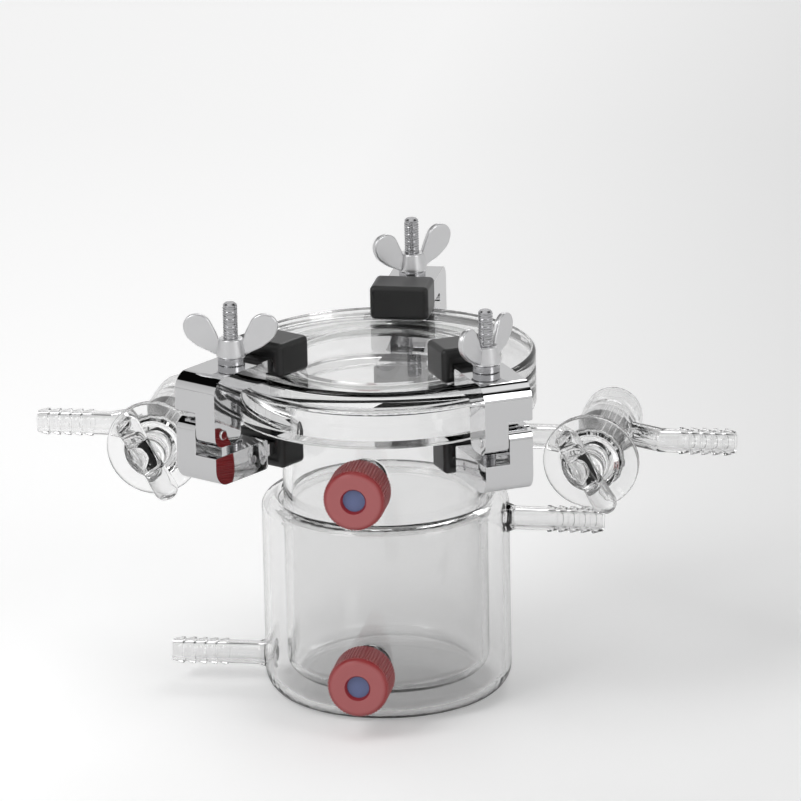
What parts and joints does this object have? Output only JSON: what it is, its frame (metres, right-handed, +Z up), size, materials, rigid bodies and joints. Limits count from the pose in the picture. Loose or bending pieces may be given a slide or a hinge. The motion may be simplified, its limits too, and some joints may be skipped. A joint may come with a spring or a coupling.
{
  "type": "jacketed_glass_reactor",
  "caption": "Jacketed glass photoreactor vessel with a flat window lid, screw clamps, side stopcocks and capped septum ports",
  "frame": {"origin": "centre of the flat base's underside", "axes": "+Z up along the vessel, -Y towards the two capped ports, +X along the stopcocks and the upper jacket nozzle"},
  "size_m": [0.284, 0.1756, 0.1755],
  "materials": {
    "clear_glass": "smooth",
    "clear_silicone": "smooth",
    "chrome": "polished",
    "steel": "satin",
    "black_rubber": "satin",
    "red_plastic": "satin",
    "blue_silicone": "matte"
  },
  "bodies": {
    "reactor": {"vessel": "clear_glass", "lid": "clear_glass", "flange_seal": "clear_silicone", "back_lower_jaw": "chrome", "back_upper_jaw": "chrome", "back_hinge_pin": "chrome", "back_stud": "steel", "back_stud_pin": "steel", "back_upper_pad": "black_rubber", "back_lower_pad": "black_rubber", "left_lower_jaw": "chrome", "left_upper_jaw": "chrome", "left_hinge_pin": "chrome", "left_stud": "steel", "left_stud_pin": "steel", "left_upper_pad": "black_rubber", "left_lower_pad": "black_rubber", "right_lower_jaw": "chrome", "right_upper_jaw": "chrome", "right_hinge_pin": "chrome", "right_stud": "steel", "right_stud_pin": "steel", "right_upper_pad": "black_rubber", "right_lower_pad": "black_rubber"},
    "left_plug": {"left_stopcock_plug": "clear_glass"},
    "right_plug": {"right_stopcock_plug": "clear_glass"},
    "upper_septum": {"upper_port_septum": "blue_silicone"},
    "upper_cap": {"upper_port_cap": "red_plastic"},
    "lower_septum": {"lower_port_septum": "blue_silicone"},
    "lower_cap": {"lower_port_cap": "red_plastic"},
    "back_collar_body": {"back_collar": "steel"},
    "back_nut": {"back_wing_nut": "steel"},
    "left_collar_body": {"left_collar": "steel"},
    "left_nut": {"left_wing_nut": "steel"},
    "right_collar_body": {"right_collar": "steel"},
    "right_nut": {"right_wing_nut": "steel"}
  },
  "joints": [
    {"name": "left_plug_turn", "type": "hinge", "parent": "reactor", "child": "left_plug", "pos_m": [-0.0883, -0.03, 0.1068], "axis": [0, 1, 0], "continuous": true},
    {"name": "right_plug_turn", "type": "hinge", "parent": "reactor", "child": "right_plug", "pos_m": [0.0883, -0.03, 0.1068], "axis": [0, 1, 0], "continuous": true},
    {"name": "upper_septum_lift", "type": "slide", "parent": "reactor", "child": "upper_septum", "axis": [0, -1, 0], "range_m": [0, 0.0075]},
    {"name": "upper_cap_turn", "type": "hinge", "parent": "upper_septum", "child": "upper_cap", "pos_m": [0, -0.067, 0.1005], "axis": [0, -1, 0], "range_deg": [0, 900]},
    {"name": "lower_septum_lift", "type": "slide", "parent": "reactor", "child": "lower_septum", "axis": [0, -1, 0], "range_m": [0, 0.0075]},
    {"name": "lower_cap_turn", "type": "hinge", "parent": "lower_septum", "child": "lower_cap", "pos_m": [0, -0.067, 0.023], "axis": [0, -1, 0], "range_deg": [0, 900]},
    {"name": "back_collar_lift", "type": "slide", "parent": "reactor", "child": "back_collar_body", "axis": [0, 0, 1], "range_m": [0, 0.014]},
    {"name": "back_nut_turn", "type": "hinge", "parent": "back_collar_body", "child": "back_nut", "pos_m": [0, 0.074, 0.1536], "axis": [0, 0, 1], "range_deg": [0, 5040]},
    {"name": "left_collar_lift", "type": "slide", "parent": "reactor", "child": "left_collar_body", "axis": [0, 0, 1], "range_m": [0, 0.014]},
    {"name": "left_nut_turn", "type": "hinge", "parent": "left_collar_body", "child": "left_nut", "pos_m": [-0.05094, -0.05368, 0.1536], "axis": [0, 0, 1], "range_deg": [0, 5040]},
    {"name": "right_collar_lift", "type": "slide", "parent": "reactor", "child": "right_collar_body", "axis": [0, 0, 1], "range_m": [0, 0.014]},
    {"name": "right_nut_turn", "type": "hinge", "parent": "right_collar_body", "child": "right_nut", "pos_m": [0.05094, -0.05368, 0.1536], "axis": [0, 0, 1], "range_deg": [0, 5040]}
  ],
  "couplings": [
    {"joint": "upper_septum_lift", "follows": "upper_cap_turn", "m_per_rad": 0.000477},
    {"joint": "lower_septum_lift", "follows": "lower_cap_turn", "m_per_rad": 0.000477},
    {"joint": "back_collar_lift", "follows": "back_nut_turn", "m_per_rad": 0.000159},
    {"joint": "left_collar_lift", "follows": "left_nut_turn", "m_per_rad": 0.000159},
    {"joint": "right_collar_lift", "follows": "right_nut_turn", "m_per_rad": 0.000159}
  ]
}
